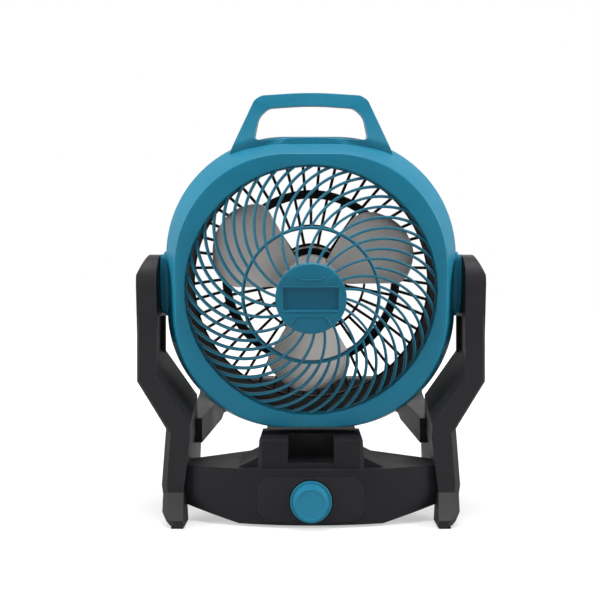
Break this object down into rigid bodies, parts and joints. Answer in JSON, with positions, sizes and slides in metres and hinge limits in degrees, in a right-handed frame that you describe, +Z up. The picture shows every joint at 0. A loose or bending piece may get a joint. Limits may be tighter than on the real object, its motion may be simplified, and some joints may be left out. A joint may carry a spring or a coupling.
{
  "type": "portable camping fan",
  "caption": "Battery camping fan: domed spiral guard in an octagonal shell with carry handle, tilting in a splayed four-footed stand with a speed knob.",
  "frame": {"origin": "on the ground, under the middle of the fan's overall box", "axes": "+Z up, +X to the right seen from the front, the front faces -Y"},
  "size_m": [0.3254, 0.2347, 0.3997],
  "materials": {
    "shell_plastic": "satin moulded",
    "knob_plastic": "satin moulded",
    "frame_plastic": "fine spark texture",
    "panel_plastic": "fine spark texture",
    "grille_plastic": "semi gloss",
    "blade_plastic": "satin",
    "pad_rubber": "matt",
    "fastener_steel": "zinc plated",
    "bearing_steel": "ground",
    "brass_contact": "bright",
    "board_resin": "solder mask",
    "inner_plastic": "matt",
    "pack_plastic": "fine texture",
    "latch_plastic": "satin",
    "cell_sleeve": "shrink sleeve"
  },
  "bodies": {
    "stand": {"right_side_frame": "frame_plastic", "left_side_frame": "frame_plastic", "frame_screws": "fastener_steel", "right_pivot_bolt": "fastener_steel", "left_pivot_bolt": "fastener_steel", "right_pivot_cap": "frame_plastic", "left_pivot_cap": "frame_plastic", "base_housing": "frame_plastic", "control_panel": "panel_plastic", "rear_bar": "frame_plastic", "base_bottom_cover": "panel_plastic", "foot_pads": "pad_rubber", "speed_control": "inner_plastic", "control_board": "board_resin", "terminal_block": "inner_plastic", "terminal_blades": "brass_contact"},
    "head": {"front_shell": "shell_plastic", "duct_ring": "grille_plastic", "front_grille": "shell_plastic", "grille_cap": "shell_plastic", "rear_grille": "grille_plastic", "motor_can": "bearing_steel", "motor_lid": "grille_plastic", "motor_stator": "bearing_steel", "motor_bearings": "bearing_steel", "rear_grille_screws": "fastener_steel", "motor_screws": "fastener_steel"},
    "fan_rotor": {"impeller": "blade_plastic", "impeller_nut": "fastener_steel", "motor_shaft": "fastener_steel", "motor_rotor": "bearing_steel"},
    "knob": {"speed_knob": "knob_plastic", "knob_spindle": "fastener_steel"},
    "battery": {"battery_case": "pack_plastic", "battery_cover": "pack_plastic", "battery_cells": "cell_sleeve"},
    "latch": {"battery_latch": "latch_plastic"}
  },
  "joints": [
    {"name": "head_tilt", "type": "hinge", "parent": "stand", "child": "head", "pos_m": [0, -0.0475, 0.222], "axis": [1, 0, 0], "range_deg": [-90, 20]},
    {"name": "impeller_spin", "type": "hinge", "parent": "head", "child": "fan_rotor", "pos_m": [0, -0.04694, 0.21844], "axis": [0, -0.9877, -0.1564], "continuous": true},
    {"name": "knob_turn", "type": "hinge", "parent": "stand", "child": "knob", "pos_m": [0, -0.0886, 0.0241], "axis": [0, -1, 0], "range_deg": [-270, 0]},
    {"name": "battery_slide", "type": "slide", "parent": "stand", "child": "battery", "axis": [0, 1, 0], "range_m": [0, 0.07]},
    {"name": "latch_press", "type": "slide", "parent": "battery", "child": "latch", "axis": [0, 0, -1], "range_m": [0, 0.0035], "stiffness_N_per_m": 400, "springref_m": -0.002}
  ]
}
